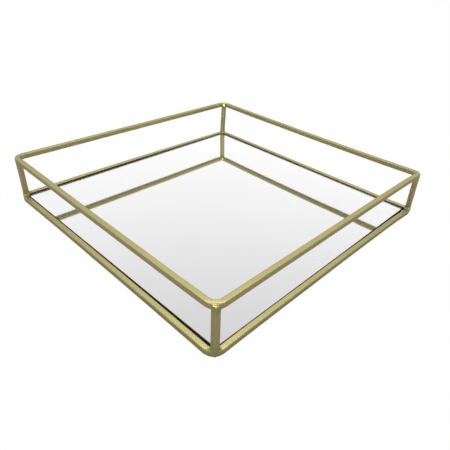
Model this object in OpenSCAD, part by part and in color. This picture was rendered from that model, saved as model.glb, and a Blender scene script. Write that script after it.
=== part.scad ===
// Square vanity tray: two square-bar loops joined by four corner posts, with a
// back-silvered mirror held inside the lower loop. Millimetres, +Z up, front is -Y.
// The origin is at the middle of the tray, on the surface that its foot pads stand on.

/* [Frame] */
// Width and depth of the tray over its rails
outer_w = 305; // [160:1:420]
// Height of the tray, from the surface under its pads to the top of the upper rail
tray_h = 50.8; // [36:0.2:90]
// Side of the square bar that the rails and posts are made of
bar = 5; // [4:0.05:7]
// Radius of the eased long edges of the bar
bar_edge = 0.65; // [0.3:0.05:0.9]
// Radius of the corner bends, along the middle of the bar
bend_r = 8.4; // [7:0.1:9]
// How far each post's middle lies inside the crossing of the rails' middle lines
post_inset = 2; // [1.4:0.1:2.4]

/* [Welds] */
// Radius of a post weld where it meets the rail
weld_r = 4.9; // [4.4:0.1:5.4]
// Height of a post weld up the side of the post
weld_h = 2.6; // [1.5:0.1:4]
// How far a post weld stands proud of the rail's side faces
weld_proud = 0.4; // [0.3:0.1:1]
// Length of the ground weld that closes each rail's loop
seam_l = 1.6; // [1:0.1:3]

/* [Mirror] */
// Thickness of the mirror's glass
glass_t = 2; // [2:0.5:3]
// Depth of the glass below the top of the lower rail
glass_drop = 0.65; // [0:0.05:0.9]
// Free width between the glass and the rails, both sides together
glass_play = 4; // [3.4:0.1:5]
// Width of the cut at each corner of the glass
glass_nip = 1.8; // [1.6:0.1:6]
// How far the glass was laid towards +X
glass_x = -0.15; // [-0.6:0.05:0.6]
// How far the glass was laid towards +Y
glass_y = -0.5; // [-0.6:0.05:0.6]
// Angle by which the glass was laid out of square
glass_turn = 0.25; // [-0.3:0.05:0.3]
// Thickness of the silver, and of the paint that protects it
coat_t = 0.1; // [0.1:0.05:0.2]
// Thickness of the mirror tape
tape_t = 0.3; // [0.2:0.05:0.6]
// Number of tape strips
tape_count = 5; // [2:1:8]

/* [Underside] */
// Free width between the backing board and the rail on each side
board_gap = 0.5; // [0.3:0.1:1]
// Height of the foot pads
pad_h = 1.6; // [1.4:0.1:4]
// Diameter of the foot pads
pad_d = 9; // [6:0.5:12]
// Thickness of the felt liner
felt_t = 0.8; // [0.4:0.1:1]
// Thickness of the support tabs
tab_t = 1; // [0.6:0.1:1.2]
// Width of the support tabs
tab_w = 12; // [8:1:18]
// How far each support tab reaches under the board
tab_reach = 9; // [6:0.5:12]

/* [Hidden] */
$fn = 48;

// Corners by turn about Z, counted from the front left one, and sides from the front one.
FRONT_LEFT = 0;
FRONT_RIGHT = 90;
BACK_RIGHT = 180;
BACK_LEFT = 270;

half = outer_w / 2;              // middle of the tray to the rails' outer faces
mid = half - bar / 2;            // middle of the tray to the rails' middle lines
inner = half - bar;              // middle of the tray to the rails' inner faces
bend_at = mid - bend_r;          // middle of the tray to the centre of each bend
post_at = mid - post_inset;      // middle of the tray to the posts' middles
lower_z = pad_h + bar / 2;       // height of the lower rail's middle
upper_z = tray_h - bar / 2;      // height of the upper rail's middle
lower_top = pad_h + bar;
upper_bottom = tray_h - bar;
glass_w = 2 * inner - glass_play;
glass_z = lower_top - glass_drop - glass_t;
silver_z = glass_z - coat_t;
paint_z = silver_z - coat_t;
tape_z = paint_z - tape_t;
board_t = tape_z - pad_h;        // the board fills what is left above the rail's underside
tape_w = 20;
tape_margin = 8;                 // ends of the tape strips to the edge of the glass
tab_lap = 2.4;                   // overlap of each tab on the rail's underside
tab_at = 0.3 * outer_w;          // middle of each side to its tabs
glue_l = 18;
glue_at = 0.18 * outer_w;        // middle of each side to its glue beads
pad_margin = 8;                  // rails' inner faces to the pads' middles
pad_at = inner - pad_margin;     // middle of the tray to the pads' middles
felt_gap = 3.5;                  // felt to the ends of the support tabs
felt_w = 2 * (inner - tab_reach - felt_gap);

// ---------- shared shapes ----------

// Cross-section of the bar, centred, with eased corners
module bar_section(w = bar) {
    flat = w - 2 * bar_edge;
    square([w, flat], center = true);
    square([flat, w], center = true);
    for (x = [-1, 1], y = [-1, 1])
        translate([x * flat / 2, y * flat / 2]) circle(r = bar_edge);
}

// A straight bar of length l along +X from the origin
module straight(l) {
    rotate([90, 0, 90]) linear_extrude(height = l) bar_section();
}

// The front left bend of a rail whose middle lies at height z
module bend(z) {
    translate([-bend_at, -bend_at, z])
        rotate(180) rotate_extrude(angle = 90) translate([bend_r, 0]) bar_section();
}

// The bar of one rail, bent round four corners, with its two ends at the back
module rail(z) {
    for (turn = [0, 90, 270]) {
        rotate(turn) bend(z);
        rotate(turn) translate([-bend_at, -mid, z]) straight(2 * bend_at);
    }
    rotate(180) bend(z);
    for (end = [-1, 1])
        translate([end < 0 ? -bend_at : seam_l / 2, mid, z]) straight(bend_at - seam_l / 2);
}

// Ground weld metal between the two ends of a rail's bar
module seam(z) {
    translate([-seam_l / 2, mid, z]) straight(seam_l);
}

// The front left post
module post() {
    translate([-post_at, -post_at, lower_top])
        linear_extrude(height = upper_bottom - lower_top) bar_section();
}

// Weld metal round the front left post on a rail whose middle lies at height z.
// side is 1 where the post stands on the rail and -1 where it hangs below.
module post_weld(z, side) {
    difference() {
        intersection() {
            translate([-post_at, -post_at, z]) scale([1, 1, side])
                union() {
                    cylinder(r1 = weld_r - bar / 4, r2 = weld_r, h = bar / 2);
                    translate([0, 0, bar / 2]) cylinder(r1 = weld_r, r2 = bar / 2 + 0.2, h = weld_h);
                }
            weld_band(z);
        }
        bend(z);
        post();
    }
}

// The band along the front left bend that weld metal can lie in
module weld_band(z) {
    translate([-bend_at, -bend_at, z]) difference() {
        cylinder(r = bend_r + bar / 2 + weld_proud, h = 2 * (bar + weld_h), center = true);
        cylinder(r = bend_r - bar / 2 - weld_proud / 2, h = 3 * (bar + weld_h), center = true);
    }
}

// Outline of a square sheet with round corners
module round_square(w, r) {
    square([w, w - 2 * r], center = true);
    square([w - 2 * r, w], center = true);
    for (x = [-1, 1], y = [-1, 1])
        translate([x * (w / 2 - r), y * (w / 2 - r)]) circle(r = r);
}

// A sheet as large as the glass, laid as the glass is, from height z
module mirror_sheet(z, t) {
    translate([glass_x, glass_y, z]) rotate(glass_turn) linear_extrude(height = t)
        intersection() {
            square(glass_w, center = true);
            rotate(45) square(sqrt(2) * glass_w - sqrt(2) * glass_nip, center = true);
        }
}

// ---------- sub-parts ----------

module upper_rail() {
    color("#b3a673") rail(upper_z);
}

module upper_rail_seam() {
    color("#a89a66") seam(upper_z);
}

module lower_rail() {
    color("#b3a673") rail(lower_z);
}

module lower_rail_seam() {
    color("#a89a66") seam(lower_z);
}

module corner_post(turn) {
    color("#9c9160") rotate(turn) post();
}

module upper_weld(turn) {
    color("#8f8550") rotate(turn) post_weld(upper_z, -1);
}

module lower_weld(turn) {
    color("#8f8550") rotate(turn) post_weld(lower_z, 1);
}

// Two flat tabs under one side of the lower rail, which carry the board
module tabs(turn) {
    tip_r = tab_w / 4;
    tab_l = tab_lap + tab_reach;
    color("#a89a66") rotate(turn)
        for (x = [-tab_at, tab_at])
            translate([x, -inner - tab_lap, pad_h - tab_t]) linear_extrude(height = tab_t) {
                translate([-tab_w / 2, 0]) square([tab_w, tab_l - tip_r]);
                translate([-tab_w / 2 + tip_r, 0]) square([tab_w - 2 * tip_r, tab_l]);
                for (side = [-1, 1])
                    translate([side * (tab_w / 2 - tip_r), tab_l - tip_r]) circle(r = tip_r);
            }
}

// The bead that holds the outer end of each tab to the rail
module tab_welds() {
    bead_r = tab_t * 0.6;
    bead_l = tab_w - 2;
    color("#8f8550")
        for (turn = [0:90:270], x = [-tab_at, tab_at])
            rotate(turn) translate([x - bead_l / 2, -inner - tab_lap, pad_h])
                intersection() {
                    rotate([0, 90, 0]) cylinder(r = bead_r, h = bead_l);
                    translate([0, -bead_r, -bead_r]) cube([bead_l, bead_r, bead_r]);
                }
}

module mirror_glass() {
    color("#e6eef0") mirror_sheet(glass_z, glass_t);
}

module mirror_silver() {
    color("#d9dbdd") mirror_sheet(silver_z, coat_t);
}

module mirror_paint() {
    color("#3a3d3f") mirror_sheet(paint_z, coat_t);
}

// Strips of double-sided tape between the mirror and its board
module mirror_tape() {
    strip_l = glass_w - 2 * tape_margin;
    pitch = (strip_l - tape_w) / (tape_count - 1);
    color("#f2efe6")
        for (i = [0:tape_count - 1])
            translate([i * pitch - strip_l / 2, -strip_l / 2, tape_z]) cube([tape_w, strip_l, tape_t]);
}

module backing_board() {
    board_r = bend_r - bar / 2 - board_gap;
    color("#1c1a17") translate([0, 0, pad_h])
        linear_extrude(height = board_t) round_square(2 * (inner - board_gap), board_r);
}

// Two beads of glue on each side, between the board's edge and the rail
module edge_glue() {
    color("#151515")
        for (turn = [0:90:270], x = [-glue_at, glue_at])
            rotate(turn) translate([x - glue_l / 2, -inner, pad_h + bar_edge])
                cube([glue_l, board_gap, board_t - bar_edge]);
}

module felt_liner() {
    felt_r = 3;
    color("#141414") translate([0, 0, pad_h - felt_t])
        linear_extrude(height = felt_t) round_square(felt_w, felt_r);
}

// A round foot pad with an eased lower edge
module pad(turn) {
    ease = pad_h / 4;
    color("#26272a") rotate(turn) translate([-pad_at, -pad_at, 0]) {
        cylinder(d1 = pad_d - 2 * ease, d2 = pad_d, h = ease);
        translate([0, 0, ease]) cylinder(d = pad_d, h = pad_h - ease);
    }
}

upper_rail();
upper_rail_seam();
lower_rail();
lower_rail_seam();
corner_post(FRONT_LEFT);  // post_front_left
corner_post(FRONT_RIGHT);  // post_front_right
corner_post(BACK_RIGHT);  // post_back_right
corner_post(BACK_LEFT);  // post_back_left
upper_weld(FRONT_LEFT);  // upper_weld_front_left
upper_weld(FRONT_RIGHT);  // upper_weld_front_right
upper_weld(BACK_RIGHT);  // upper_weld_back_right
upper_weld(BACK_LEFT);  // upper_weld_back_left
lower_weld(FRONT_LEFT);  // lower_weld_front_left
lower_weld(FRONT_RIGHT);  // lower_weld_front_right
lower_weld(BACK_RIGHT);  // lower_weld_back_right
lower_weld(BACK_LEFT);  // lower_weld_back_left
tabs(0);  // tabs_front
tabs(90);  // tabs_right
tabs(180);  // tabs_back
tabs(270);  // tabs_left
tab_welds();
mirror_glass();
mirror_silver();
mirror_paint();
mirror_tape();
backing_board();
edge_glue();
felt_liner();
pad(FRONT_LEFT);  // pad_front_left
pad(FRONT_RIGHT);  // pad_front_right
pad(BACK_RIGHT);  // pad_back_right
pad(BACK_LEFT);  // pad_back_left
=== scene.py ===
"""Looks for the square mirror tray: satin brass-plated bar, hand-welded corners and a back-silvered mirror.

Everything is in metres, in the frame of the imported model. Sizes come from the CAD nodes' boxes;
the few that a box can't give are named below.
"""

import math

import bpy
import numpy as np
from mathutils import Matrix, Vector


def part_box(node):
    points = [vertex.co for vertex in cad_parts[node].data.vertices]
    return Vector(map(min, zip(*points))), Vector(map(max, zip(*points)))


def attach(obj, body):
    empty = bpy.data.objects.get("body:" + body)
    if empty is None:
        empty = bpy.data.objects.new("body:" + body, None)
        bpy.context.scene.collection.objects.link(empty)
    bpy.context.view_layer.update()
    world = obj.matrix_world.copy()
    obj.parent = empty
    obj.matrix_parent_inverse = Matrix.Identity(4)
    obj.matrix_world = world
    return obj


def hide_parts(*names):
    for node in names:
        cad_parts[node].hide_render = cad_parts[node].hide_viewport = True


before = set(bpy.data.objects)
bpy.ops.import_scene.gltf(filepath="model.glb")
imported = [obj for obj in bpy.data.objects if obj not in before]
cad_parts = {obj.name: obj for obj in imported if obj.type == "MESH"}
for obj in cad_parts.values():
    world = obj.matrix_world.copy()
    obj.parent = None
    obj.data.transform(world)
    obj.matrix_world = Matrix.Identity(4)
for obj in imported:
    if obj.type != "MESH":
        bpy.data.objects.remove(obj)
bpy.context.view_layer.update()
MM = 0.001

# ---------- sizes that the boxes of the CAD nodes give ----------
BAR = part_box("post_front_left")[1].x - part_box("post_front_left")[0].x
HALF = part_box("upper_rail")[1].x
MID = HALF - BAR / 2
LOWER_Z = (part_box("lower_rail")[0].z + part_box("lower_rail")[1].z) / 2
UPPER_Z = (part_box("upper_rail")[0].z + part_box("upper_rail")[1].z) / 2
POST_AT = -(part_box("post_front_left")[0].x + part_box("post_front_left")[1].x) / 2
POST_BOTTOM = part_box("post_front_left")[0].z
POST_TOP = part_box("post_front_left")[1].z
SEAM_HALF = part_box("upper_rail_seam")[1].x
GLASS_BOTTOM, GLASS_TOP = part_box("mirror_glass")[0].z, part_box("mirror_glass")[1].z
PAD_AT = -(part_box("pad_front_left")[0].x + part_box("pad_front_left")[1].x) / 2
PAD_R = (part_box("pad_front_left")[1].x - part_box("pad_front_left")[0].x) / 2
PAD_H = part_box("pad_front_left")[1].z

# ---------- sizes that the design holds and a box can't give ----------
BEND_R = 8.4 * MM      # bend radius of the rails, along the middle of the bar
BAR_EDGE = 0.65 * MM   # radius of the bar's eased edges
GLASS_W = 291 * MM     # side of the square glass
GLASS_NIP = 1.8 * MM   # cut at each corner of the glass
GLASS_AT = (-0.15 * MM, -0.5 * MM)  # where the middle of the glass lies
GLASS_TURN = 0.25                   # how far askew it was laid, in degrees
TAB_W = 12 * MM        # width of a tab under the lower rail
TAB_BEAD_L = 10 * MM   # length of the weld bead at a tab's end
TAPE_W = 20 * MM       # width of a strip of tape
TAPE_STRIPS = 5
GLUE_AT = 0.18 * 2 * HALF  # how far from the middle of a side each bead of glue lies
GLUE_L, GLUE_W = 18 * MM, 0.5 * MM

# Corners and sides, with how far round the tray each lies, in degrees.
CORNERS = {"front_left": 0, "front_right": 90, "back_right": 180, "back_left": 270}
SIDES = {"front": 0, "right": 90, "back": 180, "left": 270}

# ---------- how this tray came out by hand, as the photo shows it ----------
CORNER_BENDS = dict.fromkeys(CORNERS, BEND_R) | {"front_right": 6.8 * MM}
PUSHED_CORNER = np.array([MID, -MID])     # the front right corner was pushed out
PUSH = np.array([1.0, -1.0]) * MM         # by this much,
PUSH_REACH = 22 * MM                      # which dies away over this distance
BEND_TILT, BEND_DROP = 0.06, 0.24         # slope and rounding of the bar's faces in a bend,
                                          # as shares of its height
UPPER_OFFSET = np.array([0.9, 0.5]) * MM  # the upper loop sits this far off the lower one
SIDE_BOWS = {                             # how far the sides bow inwards: front, right, back, left
    "upper_rail": np.array([0.2, 1.7, 0.4, -0.5]) * MM,
    "lower_rail": np.array([0.7, 0.2, -0.7, 0.6]) * MM,
}
POST_LEANS = {                            # how far each post's foot and head stand off their places
    "front_left": (np.array([0.6, -0.8]) * MM, np.array([1.1, 0.0]) * MM),
    "front_right": (np.array([0.6, -0.7]) * MM, np.array([1.5, -0.2]) * MM),
    "back_right": (np.array([-0.1, 0.3]) * MM, np.array([1.2, 0.3]) * MM),
    "back_left": (np.array([0.5, -0.6]) * MM, np.array([0.7, 0.7]) * MM),
}


# ---------- meshes ----------

def show(name, vertices, faces, material, replaced, smooth=True):
    """A piece of the object, made of plain vertices and faces, which rides on the one body."""
    mesh = bpy.data.meshes.new(name)
    mesh.from_pydata([tuple(v) for v in vertices], [], faces)
    mesh.validate()
    mesh.polygons.foreach_set("use_smooth", [smooth] * len(mesh.polygons))
    rims = {key for polygon in mesh.polygons if polygon.loop_total > 4 for key in polygon.edge_keys}
    for edge in mesh.edges:  # the shading doesn't run over the rim of a cap
        edge.use_edge_sharp = edge.key in rims
    mesh.update()
    made = bpy.data.objects.new(name, mesh)
    bpy.context.scene.collection.objects.link(made)
    made.data.materials.append(material)
    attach(made, "root")
    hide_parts(*replaced)
    return made


def tube_faces(rings, around, closed=False, caps=True):
    """Quads between rings of the same number of points, with a cap on each end of an open tube."""
    faces = []
    for i in range(rings if closed else rings - 1):
        a, b = i * around, (i + 1) % rings * around
        for j in range(around):
            k = (j + 1) % around
            faces.append((a + j, a + k, b + k, b + j))
    if caps and not closed:
        faces.append(tuple(reversed(range(around))))
        faces.append(tuple(range((rings - 1) * around, rings * around)))
    return faces


def bar_section(flat_steps=6, arc_steps=5):
    """Points round the bar's cross-section as (outward, up), counter-clockwise."""
    flat = BAR / 2 - BAR_EDGE
    points = []
    for side in range(4):
        turn = math.radians(90 * side)
        c, s = math.cos(turn), math.sin(turn)
        local = [(BAR / 2, flat * (2 * i / flat_steps - 1)) for i in range(flat_steps + 1)]
        for i in range(1, arc_steps):
            a = math.radians(90 * i / arc_steps)
            local.append((flat + BAR_EDGE * math.cos(a), flat + BAR_EDGE * math.sin(a)))
        points += [(x * c - y * s, x * s + y * c) for x, y in local]
    return np.array(points)


def spin(points, degrees):
    """Points turned about the Z axis."""
    a = math.radians(degrees)
    c, s = math.cos(a), math.sin(a)
    x, y = points[..., 0].copy(), points[..., 1].copy()
    out = points.copy()
    out[..., 0], out[..., 1] = x * c - y * s, x * s + y * c
    return out


def waves(s, seed, wavelengths, heights):
    """A smooth wander along a length s, as a sum of sines with seeded phases."""
    rng = np.random.default_rng(seed)
    total = np.zeros_like(s)
    for length, height in zip(wavelengths, heights):
        total += height * np.sin(2 * math.pi * (s / length + rng.random()))
    return total


# ---------- materials ----------

def node_adder(tree):
    """A function that adds a shader node to the tree, with its settings, and sets or links its inputs.
    An input is given by its name, or as _2 for the third one."""

    def add(kind, settings=None, **inputs):
        n = tree.nodes.new("ShaderNode" + kind)
        for key, value in (settings or {}).items():
            setattr(n, key, value)
        for key, value in inputs.items():
            socket = n.inputs[int(key[1:])] if key[0] == "_" else n.inputs[key.replace("_", " ")]
            if isinstance(value, bpy.types.NodeSocket):
                tree.links.new(value, socket)
            else:
                socket.default_value = value
        return n

    return add


def new_material(name):
    """A node material with only its output, and a function that adds nodes to it."""
    made = bpy.data.materials.new(name)
    made.use_nodes = True
    tree = made.node_tree
    tree.nodes.clear()
    out = tree.nodes.new("ShaderNodeOutputMaterial")
    return made, tree, out, node_adder(tree)


def ramp(add, tree, fac, stops):
    """A colour ramp with the given (place, colour) stops, fed by fac."""
    n = add("ValToRGB")
    tree.links.new(fac, n.inputs["Fac"])
    elements = n.color_ramp.elements
    while len(elements) < len(stops):
        elements.new(0.5)
    for element, (place, colour) in zip(elements, stops):
        element.position = place
        element.color = colour if len(colour) == 4 else (*colour, 1)
    return n


def map_range(add, value, low, high, low_gives, high_gives):
    """The value, carried from one range to another and held at its ends."""
    return add("MapRange", _0=value, _1=low, _2=high, _3=low_gives, _4=high_gives).outputs["Result"]


def grey(v):
    return (v, v, v, 1)


def brass_material(name, dark, light, rough, fine_bump, lump_bump):
    """Satin brass plating: slow tone changes, a fine blasted grain and faint pits."""
    made, tree, out, add = new_material(name)
    place = add("TexCoord").outputs["Object"]
    tone = add("TexNoise", Vector=place, Scale=55.0, Detail=3.0, Roughness=0.55)
    fine = add("TexNoise", Vector=place, Scale=2600.0, Detail=2.0, Roughness=0.6)
    lump = add("TexNoise", Vector=place, Scale=520.0, Detail=3.0, Roughness=0.5)
    colour = ramp(add, tree, tone.outputs["Fac"], [(0.3, dark), (0.7, light)])
    speck = ramp(add, tree, fine.outputs["Fac"], [(0.25, grey(0.95)), (0.6, grey(1.0))])
    shade = add("Mix", {"data_type": "RGBA", "blend_type": "MULTIPLY"},
                _0=1.0, _6=colour.outputs["Color"], _7=speck.outputs["Color"])
    bump = add("Bump", Strength=lump_bump, Distance=0.08 * MM, Height=lump.outputs["Fac"])
    grain = add("Bump", Strength=fine_bump, Distance=0.02 * MM,
                Height=fine.outputs["Fac"], Normal=bump.outputs["Normal"])
    surface = add("BsdfPrincipled", Metallic=1.0, Base_Color=shade.outputs[2],
                  Roughness=map_range(add, lump.outputs["Fac"], 0.3, 0.7, rough - 0.05, rough + 0.07),
                  Normal=grain.outputs["Normal"])
    tree.links.new(surface.outputs["BSDF"], out.inputs["Surface"])
    return made


def glass_material():
    """Clear float glass with a faint green body colour."""
    made, tree, out, add = new_material("float_glass")
    place = add("TexCoord").outputs["Object"]
    haze = add("TexNoise", Vector=place, Scale=40.0, Detail=4.0)
    tint = ramp(add, tree, haze.outputs["Fac"], [(0.3, (0.985, 0.99, 0.986)), (0.7, (0.99, 0.994, 0.99))])
    surface = add("BsdfPrincipled", IOR=1.52, Transmission_Weight=1.0, Base_Color=tint.outputs["Color"],
                  Roughness=map_range(add, haze.outputs["Fac"], 0.35, 0.75, 0.0, 0.004))
    tree.links.new(surface.outputs["BSDF"], out.inputs["Surface"])
    return made


def glass_edge_shade_material():
    """The glass's ground edge, painted dark brown as the shade of the gap beside the rails."""
    made, tree, out, add = new_material("glass_edge_painted_shade")
    place = add("TexCoord").outputs["Object"]
    grain = add("TexNoise", Vector=place, Scale=900.0, Detail=3.0)
    # painted shade: the dark brown of the shaded gap, which the band at the glass's edge shows
    dark, light = (0.06, 0.052, 0.026), (0.12, 0.105, 0.06)
    colour = ramp(add, tree, grain.outputs["Fac"], [(0.3, dark), (0.75, light)])
    surface = add("BsdfPrincipled", Roughness=0.5, Base_Color=colour.outputs["Color"])
    tree.links.new(surface.outputs["BSDF"], out.inputs["Surface"])
    return made


def silver_material():
    """The silver behind the glass."""
    made, tree, out, add = new_material("mirror_silvering")
    place = add("TexCoord").outputs["Object"]
    cloud = add("TexNoise", Vector=place, Scale=9.0, Detail=2.0)
    colour = ramp(add, tree, cloud.outputs["Fac"], [(0.3, grey(0.935)), (0.7, grey(0.95))])
    surface = add("BsdfPrincipled", Metallic=1.0, Roughness=0.0, Base_Color=colour.outputs["Color"])
    tree.links.new(surface.outputs["BSDF"], out.inputs["Surface"])
    return made


def dull_material(name, dark, light, scale, rough, bump_height, sheen=0.0):
    """A dull, faintly uneven surface, such as paint, board, tape, felt or rubber."""
    made, tree, out, add = new_material(name)
    place = add("TexCoord").outputs["Object"]
    grain = add("TexNoise", Vector=place, Scale=scale, Detail=6.0, Roughness=0.7)
    colour = ramp(add, tree, grain.outputs["Fac"], [(0.3, dark), (0.7, light)])
    bump = add("Bump", Strength=0.6, Distance=bump_height, Height=grain.outputs["Fac"])
    surface = add("BsdfPrincipled", Sheen_Weight=sheen, Base_Color=colour.outputs["Color"],
                  Roughness=map_range(add, grain.outputs["Fac"], 0.3, 0.7, rough - 0.06, rough + 0.06),
                  Normal=bump.outputs["Normal"])
    tree.links.new(surface.outputs["BSDF"], out.inputs["Surface"])
    return made


BRASS = brass_material("satin_brass", (0.475, 0.427, 0.196), (0.505, 0.455, 0.213),
                       rough=0.40, fine_bump=0.03, lump_bump=0.03)
WELD = brass_material("welded_brass", (0.375, 0.337, 0.144), (0.50, 0.452, 0.212),
                      rough=0.36, fine_bump=0.25, lump_bump=0.5)
GLASS = glass_material()
GLASS_EDGE_SHADE = glass_edge_shade_material()
SILVER = silver_material()
BACK_PAINT = dull_material("mirror_back_paint", (0.05, 0.055, 0.06), (0.09, 0.095, 0.1),
                           scale=300, rough=0.6, bump_height=0.03 * MM)
TAPE = dull_material("mirror_tape", (0.72, 0.70, 0.62), (0.84, 0.82, 0.75),
                     scale=700, rough=0.7, bump_height=0.03 * MM)
BOARD = dull_material("black_board", (0.008, 0.007, 0.006), (0.02, 0.017, 0.013),
                      scale=500, rough=0.75, bump_height=0.05 * MM)
GLUE = dull_material("black_glue", (0.01, 0.01, 0.01), (0.02, 0.02, 0.02),
                     scale=200, rough=0.4, bump_height=0.05 * MM)
FELT = dull_material("black_felt", (0.006, 0.006, 0.006), (0.03, 0.03, 0.03),
                     scale=1500, rough=0.95, bump_height=0.2 * MM, sheen=0.6)
RUBBER = dull_material("pad_rubber", (0.02, 0.02, 0.022), (0.035, 0.035, 0.038),
                       scale=600, rough=0.5, bump_height=0.04 * MM)


# ---------- frame of bar ----------

def loop_offset(name):
    """How far a rail's loop sits off the tray's middle."""
    return UPPER_OFFSET if name.startswith("upper") else np.zeros(2)


def pushed(points):
    """Points of the frame, moved with the corner that was pushed out."""
    away = np.linalg.norm(points[:, :2] - PUSHED_CORNER, axis=1)
    out = points.copy()
    out[:, :2] += np.exp(-(away / PUSH_REACH) ** 2)[:, None] * PUSH
    return out


def rail_line(name, straight_steps=48, bend_steps=20):
    """The middle line of a rail from one end of its bar to the other: its points, and at each point the
    outward direction and the length so far."""
    flat = MID - BEND_R
    bend_order = ("front_right", "back_right", "back_left", "front_left")  # at the end of each side
    bows = SIDE_BOWS[name]
    points, outs = [], []

    def run(side, xs):
        for x in xs:
            bow = bows[side] * max(0, 1 - (x / flat) ** 2)
            slope = -2 * x / flat ** 2 * bows[side] * (abs(x) < flat)
            points.append(spin(np.array([x, bow - MID, 0.0]), 90 * side))
            outs.append(spin(np.array([slope, -1.0, 0.0]) / math.hypot(slope, 1), 90 * side))

    def start(side):
        return CORNER_BENDS[bend_order[side - 1]] - MID

    def end(side):
        return MID - CORNER_BENDS[bend_order[side]]

    def bend(side):
        r = CORNER_BENDS[bend_order[side]]
        for i in range(1, bend_steps):
            a = math.radians(-90 + 90 * i / bend_steps)
            out = np.array([math.cos(a), math.sin(a), 0.0])
            points.append(spin(np.array([MID - r, r - MID, 0.0]) + out * r, 90 * side))
            outs.append(spin(out, 90 * side))

    # The bar's ends meet at the middle of the back side, so the line starts and ends there.
    run(2, np.linspace(SEAM_HALF, end(2), straight_steps // 2))
    bend(2)
    for side in (3, 0, 1):
        run(side, np.linspace(start(side), end(side), straight_steps))
        bend(side)
    run(2, np.linspace(start(2), -SEAM_HALF, straight_steps // 2))
    points, outs = np.array(points), np.array(outs)
    steps = np.linalg.norm(np.diff(points, axis=0), axis=1)
    points[:, :2] += loop_offset(name)
    return points, outs, np.concatenate([[0], np.cumsum(steps)])


def in_bend(points, name):
    """How far into a bend each point lies: 0 on the straights, 1 at the middle of a bend."""
    centred = np.abs(points[:, :2] - loop_offset(name))
    over = np.minimum(centred[:, 0], centred[:, 1]) - (MID - BEND_R)
    return np.clip(over / (BEND_R * math.sqrt(0.5)), 0, 1)


def rail(name, z, seed):
    """One rail: a square bar with eased edges, bent by hand, so that it wanders a little. In its bends it
    thickens a little at the inside and rounds off towards the outside, where the bar is stretched."""
    points, outs, length = rail_line(name)
    section = bar_section()
    total = length[-1]
    fade = np.clip(np.minimum(length, total - length) / (20 * MM), 0, 1)
    sideways = fade * waves(length, seed, (total / 9, total / 23), (0.05 * MM, 0.02 * MM))
    upward = fade * waves(length, seed + 1, (total / 5, total / 17), (0.06 * MM, 0.02 * MM))
    twist = fade * waves(length, seed + 2, (total / 6, total / 15), (math.radians(0.5), math.radians(0.25)))
    bent = in_bend(points, name)
    rings = []
    for i in range(len(points)):
        c, s = math.cos(twist[i]), math.sin(twist[i])
        out = section[:, 0] * c - section[:, 1] * s
        up = section[:, 0] * s + section[:, 1] * c
        share = out / (BAR / 2)
        up = up * (1 - bent[i] * (BEND_TILT * share + BEND_DROP * np.maximum(share, 0) ** 2))
        ring = points[i] + np.outer(out + sideways[i], outs[i])
        ring[:, 2] = z + up + upward[i]
        rings.append(ring)
    faces = tube_faces(len(rings), len(section))
    return show(name + "_bar", pushed(np.concatenate(rings)), faces, BRASS, [name])


def post_middle(corner, z):
    """Middle of a post at height z, in the plan."""
    foot, head = POST_LEANS[corner]
    share = (np.asarray(z) - POST_BOTTOM) / (POST_TOP - POST_BOTTOM)
    nominal = spin(np.array([-POST_AT, -POST_AT]), CORNERS[corner])
    return nominal + foot + np.multiply.outer(share, head - foot)


def post(corner, seed):
    """One corner post, which leans from its foot to its head."""
    section = spin(bar_section(), CORNERS[corner])
    into_rails = 0.3 * MM
    heights = np.linspace(POST_BOTTOM - into_rails, POST_TOP + into_rails, 41)
    lengths, swings = (37 * MM, 17 * MM), (0.03 * MM, 0.02 * MM)
    wander = np.column_stack([waves(heights, seed + k, lengths, swings) for k in (0, 1)])
    middles = post_middle(corner, heights) + wander
    rings = [np.column_stack([section + m, np.full(len(section), h)]) for h, m in zip(heights, middles)]
    vertices = pushed(np.concatenate(rings))
    faces = tube_faces(len(rings), len(section))
    return show("post_bar_" + corner, vertices, faces, BRASS, ["post_" + corner])


# ---------- welds ----------

def rounded_square(u, v, half, r):
    """Distance from the points (u, v) to a centred square with round corners, negative inside."""
    a, b = np.abs(u) - (half - r), np.abs(v) - (half - r)
    return np.hypot(np.maximum(a, 0), np.maximum(b, 0)) + np.minimum(np.maximum(a, b), 0) - r


def smooth_min(a, b, k):
    """The smaller of two distances, blended over k, which makes a fillet where the shapes meet."""
    h = np.maximum(k - np.abs(a - b), 0) / k
    return np.minimum(a, b) - h * h * k / 4


def smooth_step(x, low, high):
    """0 below low and 1 above high, with a smooth rise between."""
    t = np.clip((x - low) / (high - low), 0, 1)
    return t * t * (3 - 2 * t)


def lumps(p, seed, scale):
    """Smooth seeded lumps in space, between about -1 and 1."""
    rng = np.random.default_rng(seed)
    total = np.zeros(p.shape[:-1])
    for _ in range(9):
        direction = rng.normal(size=3)
        direction /= np.linalg.norm(direction)
        total += np.sin(p @ direction * (2 * math.pi / scale) * rng.uniform(0.6, 1.6) + rng.random() * 6.3)
    return total / 4


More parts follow.
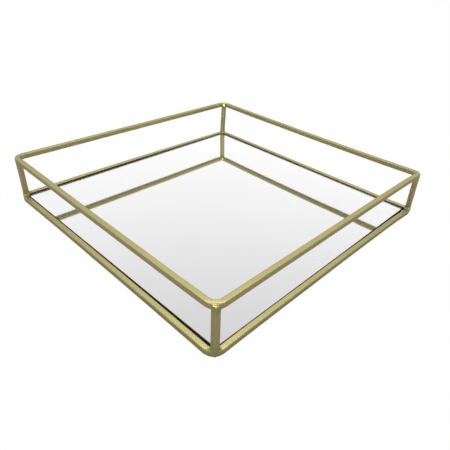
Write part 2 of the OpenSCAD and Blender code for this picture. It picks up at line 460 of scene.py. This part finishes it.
def weld_field(p, corner, rail_name, rail_z, side, spread, cover, into_rail, seed):
    """Distance from points p to the skin of one post weld: the fillet between post and rail, with
    cover of weld metal over the bars near it, which runs out under their faces further off, and
    into_rail times as soon on the rail's own faces.
    side is 1 where the post stands on the rail and -1 where it hangs under it."""
    plan = p[..., :2] - loop_offset(rail_name)
    from_line = rounded_square(plan[..., 0], plan[..., 1], MID, CORNER_BENDS[corner])
    rail_d = rounded_square(from_line, p[..., 2] - rail_z, BAR / 2, BAR_EDGE)
    face_z = rail_z + side * BAR / 2
    from_post = p[..., :2] - post_middle(corner, p[..., 2])
    post_d = rounded_square(from_post[..., 0], from_post[..., 1], BAR / 2, BAR_EDGE)
    post_d = np.maximum(post_d, side * (face_z - p[..., 2]) - 0.6 * BAR)
    joint = np.array([*post_middle(corner, face_z), face_z])
    apart = p - joint
    apart[..., 2] *= np.where(side * apart[..., 2] < 0, into_rail, 1)
    away = np.linalg.norm(apart, axis=-1)
    covered = cover * (1 - smooth_step(away, 0.75 * spread, spread))
    sunk = 0.05 * MM * smooth_step(away, 0.8 * spread, spread)
    skin = covered - sunk
    rough = 0.09 * MM * lumps(p, seed, 2.6 * MM) * (1 - smooth_step(away, 0.6 * spread, spread))
    return smooth_min(rail_d, post_d, 0.34 * spread) - skin - rough


def weld(corner, rail_name, rail_z, side, spread, cover, into_rail, seed):
    """The weld round one end of a post, found by marching outwards from the middle of the joint."""
    around, up, steps = 120, 80, 200
    nearest, furthest = 0.2 * MM, 1.25 * spread
    face_z = rail_z + side * BAR / 2
    middle = post_middle(corner, face_z)
    inwards = spin(np.array([0.5, 0.5]) * MM, CORNERS[corner])
    centre = np.array([*(middle + inwards), face_z - side * 0.6 * MM])
    a = np.linspace(0, 2 * math.pi, around, endpoint=False)
    e = np.linspace(-math.pi / 2, math.pi / 2, up + 1)[1:-1]
    circle = np.column_stack([np.cos(a), np.sin(a)])
    rows = [np.column_stack([np.cos(t) * circle, np.full(around, math.sin(t))]) for t in e]
    directions = np.concatenate([[[0, 0, -1]], *rows, [[0, 0, 1]]])
    radii = np.linspace(nearest, furthest, steps)
    places = centre + directions[:, None, :] * radii[None, :, None]
    field = weld_field(places, corner, rail_name, rail_z, side, spread, cover, into_rail, seed)
    outside = field > 0
    first = np.where(outside.any(axis=1), outside.argmax(axis=1), len(radii) - 1)
    before = np.maximum(first - 1, 0)
    each = np.arange(len(directions))
    f0, f1 = field[each, before], field[each, first]
    share = np.where((f1 > 0) & (f1 > f0), np.clip(-f0 / (f1 - f0 + 1e-12), 0, 1), 1)
    found = radii[before] + (radii[first] - radii[before]) * share
    vertices = centre + directions * found[:, None]
    last = len(vertices) - 1
    faces = [(0, 1 + (j + 1) % around, 1 + j) for j in range(around)]
    for i in range(len(e) - 1):
        lo, hi = 1 + i * around, 1 + (i + 1) * around
        faces += [(lo + j, lo + (j + 1) % around, hi + (j + 1) % around, hi + j) for j in range(around)]
    top = 1 + (len(e) - 1) * around
    faces += [(top + j, top + (j + 1) % around, last) for j in range(around)]
    name = f"{rail_name.split('_')[0]}_weld_{corner}"
    return show(name + "_bead", pushed(vertices), faces, WELD, [name])


def seam(name, z, seed):
    """The weld between the two ends of a rail's bar, ground flush and plated over."""
    rail_name = name[:-len("_seam")]
    section = bar_section()
    reach = SEAM_HALF + 0.4 * MM
    bow = SIDE_BOWS[rail_name][2]
    rings = []
    for x in np.linspace(-reach, reach, 13):
        swell = 1.001 + 0.002 * math.cos(math.pi / 2 * x / reach)
        outward, upward = section[:, 0] * swell, section[:, 1] * swell
        ring = np.column_stack([np.full(len(section), -x), MID - bow + outward, z + upward])
        ring[:, :2] += loop_offset(rail_name)
        ring += 0.001 * MM * lumps(ring, seed, 2.2 * MM)[:, None]
        rings.append(ring)
    faces = tube_faces(len(rings), len(section))
    return show(name + "_weld", np.concatenate(rings), faces, BRASS, [name])


# ---------- mirror ----------

def nipped_square(w, nip):
    """Corners of a square sheet with its corners cut, counter-clockwise from the front left."""
    h = w / 2
    corner = [(-h, -h + nip), (-h + nip, -h)]
    return np.concatenate([spin(np.array(corner), 90 * i) for i in range(4)])


def sheet_stack(levels, w, nip):
    """Rings of a mirror sheet at (height, inset) levels, laid as the glass is laid."""
    rings = []
    for z, inset in levels:
        square = nipped_square(w - 2 * inset, nip - inset * (2 - math.sqrt(2)))
        outline = spin(square, GLASS_TURN)
        ring = np.column_stack([outline, np.full(len(outline), z)])
        rings.append(ring + (*GLASS_AT, 0))
    return np.concatenate(rings), tube_faces(len(levels), 8)


def mirror():
    """The glass with its ground edges, the silver just inside its back, and the paint behind."""
    arris = 0.2 * MM
    overlap = 0.02 * MM  # how far the silver reaches into the glass, so that light meets it there
    silver_bottom, paint_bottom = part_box("mirror_silver")[0].z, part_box("mirror_paint")[0].z
    levels = [(GLASS_BOTTOM, arris), (GLASS_BOTTOM + arris, 0), (GLASS_TOP - arris, 0), (GLASS_TOP, arris)]
    v, f = sheet_stack(levels, GLASS_W, GLASS_NIP)
    plate = show("glass_plate", v, f, GLASS, ["mirror_glass"], smooth=False)
    # painted shade: the edge faces get the dark edge colour
    plate.data.materials.append(GLASS_EDGE_SHADE)
    for polygon in plate.data.polygons:
        polygon.material_index = 1 if abs(polygon.normal.z) < 0.9 else 0
    v, f = sheet_stack([(silver_bottom, arris), (GLASS_BOTTOM + overlap, arris)], GLASS_W, GLASS_NIP)
    show("silver_layer", v, f, SILVER, ["mirror_silver"], smooth=False)
    v, f = sheet_stack([(paint_bottom, arris / 2), (silver_bottom, arris / 2)], GLASS_W, GLASS_NIP)
    show("back_paint_layer", v, f, BACK_PAINT, ["mirror_paint"], smooth=False)


# ---------- underside ----------

def ring_outline(w, r, steps=8):
    """Outline of a square with round corners, counter-clockwise."""
    arc = []
    for i in range(steps + 1):
        a = math.radians(180 + 90 * i / steps)
        arc.append((-w / 2 + r + r * math.cos(a), -w / 2 + r + r * math.sin(a)))
    return np.concatenate([spin(np.array(arc), 90 * k) for k in range(4)])


def joined(parts):
    """The vertices and faces of several shapes, as those of one mesh."""
    vertices, faces, count = [], [], 0
    for v, f in parts:
        vertices.append(v)
        faces += [tuple(k + count for k in face) for face in f]
        count += len(v)
    return np.concatenate(vertices), faces


def stacked(levels):
    """Rings made of (outline, height) levels, with caps."""
    rings = [np.column_stack([outline, np.full(len(outline), z)]) for outline, z in levels]
    return np.concatenate(rings), tube_faces(len(rings), len(levels[0][0]))


def board():
    """The hardboard, with its sawn edge broken."""
    low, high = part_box("backing_board")
    r = BEND_R - BAR / 2 - 0.5 * MM
    w, ease = high.x - low.x, 0.15 * MM
    whole, eased = ring_outline(w, r), ring_outline(w - 2 * ease, r)
    levels = [(eased, low.z), (whole, low.z + ease), (whole, high.z - ease), (eased, high.z)]
    v, f = stacked(levels)
    show("hardboard", v, f, BOARD, ["backing_board"], smooth=False)


def felt():
    """The felt under the board: a laid sheet, whose face rises and falls a little, with a soft cut edge."""
    low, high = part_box("felt_liner")
    w, cells, r = high.x - low.x, 96, 3 * MM
    rng = np.random.default_rng(7)
    xs = np.linspace(-w / 2, w / 2, cells + 1)
    gx, gy = np.meshgrid(xs, xs)
    over_x, over_y = np.maximum(np.abs(gx) - (w / 2 - r), 0), np.maximum(np.abs(gy) - (w / 2 - r), 0)
    over = np.hypot(over_x, over_y)
    pull = np.where(over > r, r / np.maximum(over, 1e-9), 1)
    both = (over_x > 0) & (over_y > 0)
    gx = np.where(both, np.sign(gx) * (w / 2 - r + over_x * pull), gx)
    gy = np.where(both, np.sign(gy) * (w / 2 - r + over_y * pull), gy)
    p = np.stack([gx, gy, np.zeros_like(gx)], axis=-1)
    height = 0.05 * MM * lumps(p, 5, 46 * MM) + 0.02 * MM * rng.normal(size=gx.shape)
    edge = np.minimum(w / 2 - np.abs(gx), w / 2 - np.abs(gy))
    bottom = low.z + 0.12 * MM + height + 0.25 * MM * (1 - smooth_step(edge, 0, 3 * MM))
    n = cells + 1
    lower = np.stack([gx, gy, bottom], axis=-1).reshape(-1, 3)
    upper = np.stack([gx, gy, np.full_like(gx, high.z)], axis=-1).reshape(-1, 3)
    faces = []
    for i in range(cells):
        for j in range(cells):
            a = i * n + j
            faces.append((a, a + n, a + n + 1, a + 1))
            faces.append((n * n + a, n * n + a + 1, n * n + a + n + 1, n * n + a + n))
    rim = ([j for j in range(n)] + [i * n + n - 1 for i in range(1, n)]
           + [(n - 1) * n + j for j in range(n - 2, -1, -1)] + [i * n for i in range(n - 2, 0, -1)])
    for a, b in zip(rim, rim[1:] + rim[:1]):
        faces.append((a, b, n * n + b, n * n + a))
    piece = show("felt_sheet", np.concatenate([lower, upper]), faces, FELT, ["felt_liner"])


def turned(profile, around=56):
    """A turned piece from (radius, height) pairs."""
    a = np.linspace(0, 2 * math.pi, around, endpoint=False)
    circle = np.column_stack([np.cos(a), np.sin(a)])
    return stacked([(circle * r, z) for r, z in profile])


def pad(corner):
    """A moulded foot pad: eased rim, and a shallow hollow in the face on which it stands."""
    e, hollow = 0.35 * MM, 0.12 * MM
    profile = [(PAD_R * 0.5, hollow), (PAD_R * 0.62, hollow), (PAD_R * 0.66, 0.02 * MM), (PAD_R * 0.70, 0)]
    for t in range(0, 91, 15):
        a = math.radians(t)
        profile.append((PAD_R - e + e * math.sin(a), e - e * math.cos(a)))
    profile += [(PAD_R, PAD_H - 0.3 * MM), (PAD_R - 0.08 * MM, PAD_H - 0.1 * MM), (PAD_R - 0.1 * MM, PAD_H)]
    v, f = turned(profile)
    v = v + (-PAD_AT, -PAD_AT, 0)
    show("foot_" + corner, spin(v, CORNERS[corner]), f, RUBBER, ["pad_" + corner])


def tab_outline(w, l, r, inset, steps=6):
    """Outline of a tab from its welded end at y = 0 to its round-cornered tip."""
    half = w / 2 - inset
    points = [(-half, inset), (half, inset)]
    for side, start in ((1, 0), (-1, 90)):
        for i in range(steps + 1):
            a = math.radians(start + 90 * i / steps)
            x, y = (r - inset) * math.cos(a), (r - inset) * math.sin(a)
            points.append((side * (w / 2 - r) + x, l - r + y))
    return np.array(points)


def tabs(side):
    """Two stamped tabs under one side of the lower rail, with the die's rolled edge on their lower face."""
    low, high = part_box("tabs_" + side)
    along, across = ("y", "x") if side in ("left", "right") else ("x", "y")
    t = high.z - low.z
    l = getattr(high, across) - getattr(low, across)
    outer = max(abs(getattr(high, across)), abs(getattr(low, across)))
    at = getattr(high, along) - TAB_W / 2
    burr = 0.02 * MM
    rolled = [(0.12 * MM, low.z), (0.03 * MM, low.z + 0.1 * MM), (0, low.z + 0.3 * t)]
    sheared = [(0, high.z - burr), (burr, high.z)]
    v, f = stacked([(tab_outline(TAB_W, l, TAB_W / 4, inset), z) for inset, z in rolled + sheared])
    v, f = joined([(v + (x, -outer, 0), f) for x in (-at, at)])
    show("tab_pair_" + side, spin(v, SIDES[side]), f, BRASS, ["tabs_" + side], smooth=False)


def tab_beads():
    """The beads that hold the tabs: a row of overlapping weld drops along each tab's end."""
    under_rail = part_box("tab_welds")[1].z
    side_low, side_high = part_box("tabs_front")
    outer, at, l = -side_low.y, side_high.x - TAB_W / 2, TAB_BEAD_L
    drops, reach = 6, 0.62 * MM
    into_tab, into_rail = 0.15 * MM, 0.1 * MM
    a = np.radians(np.linspace(180, 270, 9))
    arc = np.column_stack([np.cos(a), np.sin(a)])
    beads = []
    for turn in range(4):
        for k, x0 in enumerate((-at, at)):
            rng = np.random.default_rng(20 + turn * 2 + k)
            rings = []
            for x in np.linspace(-l / 2, l / 2, 61):
                drop = abs(math.sin(math.pi * (x / l + 0.5) * drops)) ** 0.5
                taper = math.sqrt(max(0.04, 1 - (2 * x / l) ** 6))
                r = reach * taper * (0.82 + 0.18 * drop) * (1 + 0.03 * rng.normal())
                inside = [(into_tab, -0.3 * r), (into_tab, into_rail), (-0.4 * r, into_rail)]
                loop = np.concatenate([r * arc, inside]) + (-outer, under_rail)
                rings.append(np.column_stack([np.full(len(loop), x0 + x), loop]))
            beads.append((spin(np.concatenate(rings), 90 * turn), tube_faces(len(rings), len(rings[0]))))
    v, f = joined(beads)
    show("tab_weld_beads", v, f, WELD, ["tab_welds"])


def tape():
    """Strips of mirror tape whose cut ends aren't quite square."""
    low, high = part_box("mirror_tape")
    step = (high.x - low.x - TAPE_W) / (TAPE_STRIPS - 1)
    rng = np.random.default_rng(3)
    strips = []
    for i in range(TAPE_STRIPS):
        left, right = low.x + i * step, low.x + i * step + TAPE_W
        a, b, c, d = rng.uniform(0.2, 0.9, 4) * MM
        base = np.array([(left, low.y + a), (right, low.y + b), (right, high.y - c), (left, high.y - d)])
        strips.append(stacked([(base, low.z), (base, high.z)]))
    v, f = joined(strips)
    show("tape_strips", v, f, TAPE, ["mirror_tape"], smooth=False)


def glue():
    """Beads of glue between the board's edge and the rail, with a hollow, uneven face underneath."""
    low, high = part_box("edge_glue")
    across = np.linspace(0, 1, 7)
    hollow = 0.15 * MM * np.sin(np.pi * across)
    beads = []
    for turn in range(4):
        for k, x0 in enumerate((-GLUE_AT, GLUE_AT)):
            rings = []
            for x in np.linspace(-GLUE_L / 2, GLUE_L / 2, 41):
                fullness = math.sqrt(max(0.02, 1 - (2 * x / GLUE_L) ** 4))
                wave = 0.06 * MM * math.sin(x / (1.7 * MM) + turn + 2 * k)
                under = low.z + (1 - fullness) * 0.6 * MM + wave * fullness + hollow
                face = np.column_stack([across * GLUE_W, under])
                loop = np.concatenate([face, [(GLUE_W, high.z), (0, high.z)]])
                rings.append(np.column_stack([np.full(len(loop), x0 + x), low.y + loop[:, 0], loop[:, 1]]))
            beads.append((spin(np.concatenate(rings), 90 * turn), tube_faces(len(rings), len(rings[0]))))
    v, f = joined(beads)
    show("glue_beads", v, f, GLUE, ["edge_glue"])


# ---------- build ----------

rail("upper_rail", UPPER_Z, seed=11)
rail("lower_rail", LOWER_Z, seed=29)
seam("upper_rail_seam", UPPER_Z, seed=3)
seam("lower_rail_seam", LOWER_Z, seed=4)
for i, corner in enumerate(CORNERS):
    post(corner, seed=40 + 7 * i)
    weld(corner, "upper_rail", UPPER_Z, side=-1, spread=4.6 * MM, cover=0.02 * MM, into_rail=6, seed=70 + i)
    weld(corner, "lower_rail", LOWER_Z, side=1, spread=6.2 * MM, cover=0.10 * MM, into_rail=1, seed=80 + i)
mirror()

board()
felt()
tape()
glue()
tab_beads()
for side in SIDES:
    tabs(side)
for corner in CORNERS:
    pad(corner)


# ---------- stage, light and camera ----------

AZIMUTH, ELEVATION, ROLL = math.radians(-48.34), math.radians(32.6), math.radians(-3.78)
DISTANCE = 449.6 * MM
TARGET = Vector((-10.6 * MM, -44.55 * MM, LOWER_Z))
LENS, SENSOR, SHIFT_X, SHIFT_Y = 34.77, 36, -0.0381, -0.0047
FORWARD = (-math.sin(AZIMUTH), math.cos(AZIMUTH), 0.0)   # level directions, ahead of the camera
SIDEWAYS = (math.cos(AZIMUTH), math.sin(AZIMUTH), 0.0)   # and to its right

SEEN_WORLD = 0.991  # what the camera itself sees behind the object
SKY = [             # light from the sky, by the sine of its height
    (0.0, 1.0), (0.30, 1.1), (0.36, 1.1), (0.51, 0.95), (0.65, 0.80),
    (0.755, 0.69), (0.80, 1.1), (0.85, 1.4), (1.0, 1.4),
]
SIDE_TINT = (0.74, 0.68, 0.71, 1)
SEEN_FLOOR = 0.965  # how bright the camera sees the floor
FLOOR_SHADE = 0.03  # how strongly shadows show on it
FLOOR_LIGHT = 0.44  # how pale it is for the light that the object gets from it


def add_camera():
    """The camera at the photo's viewing angle."""
    level = math.cos(ELEVATION)
    back = Vector((math.sin(AZIMUTH) * level, -math.cos(AZIMUTH) * level, math.sin(ELEVATION)))
    right = Vector(SIDEWAYS)
    up = back.cross(right)
    right, up = right * math.cos(ROLL) - up * math.sin(ROLL), up * math.cos(ROLL) + right * math.sin(ROLL)
    data = bpy.data.cameras.new("photo_camera")
    data.lens, data.sensor_width, data.shift_x, data.shift_y = LENS, SENSOR, SHIFT_X, SHIFT_Y
    data.clip_start, data.clip_end = 0.01, 50
    camera = bpy.data.objects.new("photo_camera", data)
    place = Matrix((right, up, back)).transposed().to_4x4()
    place.translation = TARGET + back * DISTANCE
    camera.matrix_world = place
    bpy.context.scene.collection.objects.link(camera)
    bpy.context.scene.camera = camera


def add_world():
    """A white studio, which the camera sees plain. The brass and the mirror see it bright ahead of the
    camera and overhead, greyer in between and behind the camera, darker and pinker to the sides, and dark
    low down ahead, under the backdrop's lower edge."""
    world = bpy.data.worlds.new("studio")
    bpy.context.scene.world = world
    world.use_nodes = True
    tree = world.node_tree
    tree.nodes.clear()
    add = node_adder(tree)
    direction = add("TexCoord").outputs["Generated"]
    height = add("SeparateXYZ", _0=direction).outputs["Z"]
    facing = add("VectorMath", {"operation": "DOT_PRODUCT"}, _0=direction, _1=FORWARD).outputs["Value"]
    across = add("VectorMath", {"operation": "DOT_PRODUCT"}, _0=direction, _1=SIDEWAYS).outputs["Value"]
    off_axis = add("Math", {"operation": "ABSOLUTE"}, _0=across).outputs[0]

    sky = ramp(add, tree, height, [(at, grey(v)) for at, v in SKY])
    wings = [(0.48, grey(1)), (0.58, SIDE_TINT), (0.72, SIDE_TINT), (0.82, grey(1))]
    sides = ramp(add, tree, off_axis, wings)
    tinted = add("VectorMath", {"operation": "MULTIPLY"},
                 _0=sky.outputs["Color"], _1=sides.outputs["Color"])
    in_front = map_range(add, facing, -0.10, 0.04, 0.5, 1.0)
    below_edge = map_range(add, height, 0.32, 0.26, 0.0, 1.0)
    ahead = map_range(add, facing, 0.70, 0.86, 0.0, 0.95)
    gap = add("Math", {"operation": "MULTIPLY"}, _0=below_edge, _1=ahead)
    outside_gap = add("Math", {"operation": "SUBTRACT"}, _0=1.0, _1=gap.outputs[0])
    share = add("Math", {"operation": "MULTIPLY"}, _0=in_front, _1=outside_gap.outputs[0])
    light = add("VectorMath", {"operation": "SCALE"}, _0=tinted.outputs[0], Scale=share.outputs[0])

    by_camera = add("LightPath").outputs["Is Camera Ray"]
    seen = add("Mix", {"data_type": "RGBA"}, _0=by_camera, _6=light.outputs[0], _7=grey(SEEN_WORLD))
    background = add("Background", Color=seen.outputs[2])
    add("OutputWorld", Surface=background.outputs[0])


def add_softbox(name, place, aim, size, power):
    """A square lamp at a place, aimed at a point."""
    data = bpy.data.lights.new(name, "AREA")
    data.shape, data.size, data.energy = "SQUARE", size, power
    lamp = bpy.data.objects.new(name, data)
    lamp.location = place
    lamp.rotation_mode = "QUATERNION"
    lamp.rotation_quaternion = (Vector(aim) - Vector(place)).to_track_quat("-Z", "Y")
    bpy.context.scene.collection.objects.link(lamp)


def add_floor():
    """A pale floor that lights the object as a grey one would, so that the bars' sides keep their shade."""
    made, tree, out, add = new_material("pale_floor")
    shadowed = add("BsdfDiffuse", Color=grey(FLOOR_SHADE))
    glow = add("Emission", Color=grey(1.0), Strength=SEEN_FLOOR)
    pale = add("AddShader", _0=shadowed.outputs[0], _1=glow.outputs[0])
    dim = add("BsdfDiffuse", Color=grey(FLOOR_LIGHT))
    by_camera = add("LightPath").outputs["Is Camera Ray"]
    pick = add("MixShader", _0=by_camera, _1=dim.outputs[0], _2=pale.outputs[0])
    tree.links.new(pick.outputs[0], out.inputs["Surface"])
    reach = 6.0
    mesh = bpy.data.meshes.new("floor")
    corners = [(-reach, -reach, 0), (reach, -reach, 0), (reach, reach, 0), (-reach, reach, 0)]
    mesh.from_pydata(corners, [], [(0, 1, 2, 3)])
    floor = bpy.data.objects.new("floor", mesh)
    floor.data.materials.append(made)
    bpy.context.scene.collection.objects.link(floor)


add_camera()
add_world()
add_softbox("camera_side_softbox", place=(-1.55, -1.4, 0.75), aim=(0, 0, 0), size=0.6, power=24)
add_softbox("overhead_softbox", place=(0.62, 0.55, 2.2), aim=(-0.1, -0.1, 0), size=0.7, power=6.5)
add_floor()
bpy.context.scene.view_settings.view_transform = "Standard"
